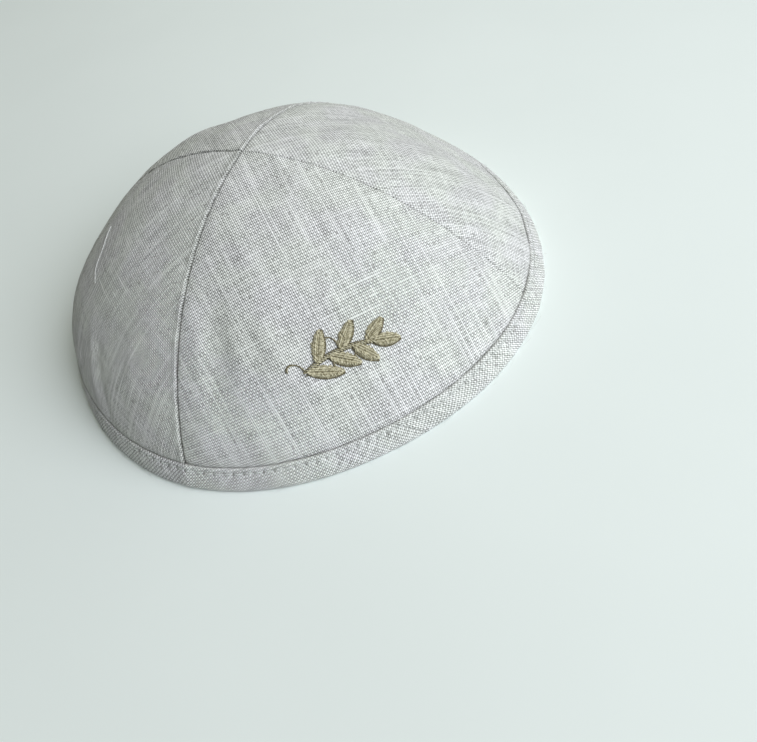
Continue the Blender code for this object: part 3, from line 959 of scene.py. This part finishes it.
def build_fuzz(count=420):
    rng = np.random.default_rng(7)
    paths, radii = [], []
    for _ in range(count):
        turn = np.full(5, rng.random() * 4)
        reach = 0.0004 + 0.0011 * rng.random() ** 2
        step = np.linspace(0, 1, 5)
        distance = 0.0006 + 0.0052 * rng.random() ** 2 + 0.0006 * rng.normal() * step
        sway = rng.normal() * 0.012 * step + rng.normal() * 0.010 * step**2
        path = ring_points(turn + sway, distance, 0.0001 + reach * step * 0.8)
        path[:, 2] = np.maximum(path[:, 2], 0.0002)
        paths.append(path)
        radii.append(0.000016 + 0.000012 * rng.random())
    return paths, radii


def stray_thread():
    """The stray thread, from across and down on the left panel to lower down beside the seam."""
    step = np.linspace(0, 1, 40)
    share = 0.475 + (0.585 - 0.475) * step
    across = -0.35 + 0.40 * step + 0.035 * np.sin(5.5 * step + 0.4)
    rise, _ = panel_relief("panel_left", across, share)
    return crown_point("panel_left", across, share, rise + 0.00022 + 0.0001 * np.sin(9 * step))


FIBRE = strand_material("linen_fibre", (0.80, 0.81, 0.79), (0.62, 0.63, 0.61), 0.7, 0.4)
fuzz_paths, fuzz_radii = build_fuzz()
add_strands("rim_fuzz", fuzz_paths, fuzz_radii, FIBRE, "bias_linen", sides=3)
add_strands("stray_thread", [stray_thread()], [0.00012], FIBRE, "linen")

# Floor and light
# A plain pale table top with painted shade towards the left, one broad cool light high on the
# right, and a weak warm room light that fades to nothing low on the left.

FLOOR_SIZE = 6.0
FLOOR_DROP = 0.00005


def build_floor():
    half = FLOOR_SIZE / 2
    places = ((-half, -half), (half, -half), (half, half), (-half, half))
    corners = np.array([(x, y, -FLOOR_DROP) for x, y in places])
    floor = link_mesh("floor", corners, np.array(((0, 1, 2, 3),)))
    material = bpy.data.materials.new("table_top")
    material.use_nodes = True
    graph = Graph(material.node_tree)
    shader = material.node_tree.nodes["Principled BSDF"]
    place = graph.node("NewGeometry").outputs["Position"]
    cloud = graph.node("TexNoise", {"Vector": place, "Scale": 9.0, "Detail": 3.0}).outputs["Fac"]
    colour = graph.mix_colour(
        graph.ramp(cloud, 0.3, 0.7), (0.88, 0.94, 0.915, 1), (0.90, 0.96, 0.935, 1)
    )
    # Painted shade: a little darker towards the left
    side = graph.node("SeparateXYZ", {"Vector": place}).outputs["X"]
    painted_shade_left = graph.mix_colour(1.0, colour, (0.91, 0.91, 0.91, 1), "MULTIPLY")
    colour = graph.mix_colour(graph.ramp(side, -0.12, 0.12), painted_shade_left, colour)
    graph.feed(shader.inputs["Base Color"], colour)
    shader.inputs["Roughness"].default_value = 0.7
    floor.data.materials.append(material)


def add_light(name, place, target, size, power, colour):
    lamp = bpy.data.lights.new(name, "AREA")
    lamp.shape = "DISK"
    lamp.size = size
    lamp.energy = power
    lamp.color = colour
    made = bpy.data.objects.new(name, lamp)
    made.location = place
    made.rotation_euler = (Vector(target) - Vector(place)).to_track_quat("-Z", "Y").to_euler()
    bpy.context.scene.collection.objects.link(made)


build_floor()
add_light("window", (1.28, -1.36, 1.60), (0, 0, 0.02), 2.7, 79.0, (0.88, 0.92, 1.0))
world = bpy.data.worlds.new("room")
bpy.context.scene.world = world
world.use_nodes = True
room = Graph(world.node_tree)
background = world.node_tree.nodes["Background"]
background.inputs["Color"].default_value = (1.0, 1.0, 0.76, 1)
# The room is brightest overhead, as bright below, and darkest low on the left
towards = room.node("SeparateXYZ", {"Vector": room.node("TexCoord").outputs["Generated"]})
lit = room.math("MULTIPLY_ADD", room.math("ABSOLUTE", towards.outputs["Z"]), 0.26, 0.05)
lit = room.math("MULTIPLY_ADD", towards.outputs["X"], 0.28, lit)
room.feed(background.inputs["Strength"], room.math("MAXIMUM", lit, 0.0))

# Camera
# The photo's view: from the front and a little left, looking steeply down, turned on its side.

CAMERA_PLACE = (-0.020773, -0.216496, 0.190442)
CAMERA_RIGHT = (0.88721, -0.40413, -0.22258)
CAMERA_DOWN = (-0.44860, -0.64288, -0.62086)
CAMERA_FORWARD = (0.10782, 0.65068, -0.75166)
FOCAL_PIXELS = 820
PICTURE_WIDTH = 757

camera_data = bpy.data.cameras.new("camera")
camera_data.sensor_fit = "HORIZONTAL"
camera_data.sensor_width = 36
camera_data.lens = FOCAL_PIXELS * camera_data.sensor_width / PICTURE_WIDTH
camera_data.clip_start = 0.01
camera = bpy.data.objects.new("camera", camera_data)
bpy.context.scene.collection.objects.link(camera)
turned = Matrix((CAMERA_RIGHT, -Vector(CAMERA_DOWN), -Vector(CAMERA_FORWARD))).transposed()
camera.matrix_world = Matrix.Translation(CAMERA_PLACE) @ turned.to_4x4()
bpy.context.scene.camera = camera
bpy.context.scene.view_settings.view_transform = "Standard"
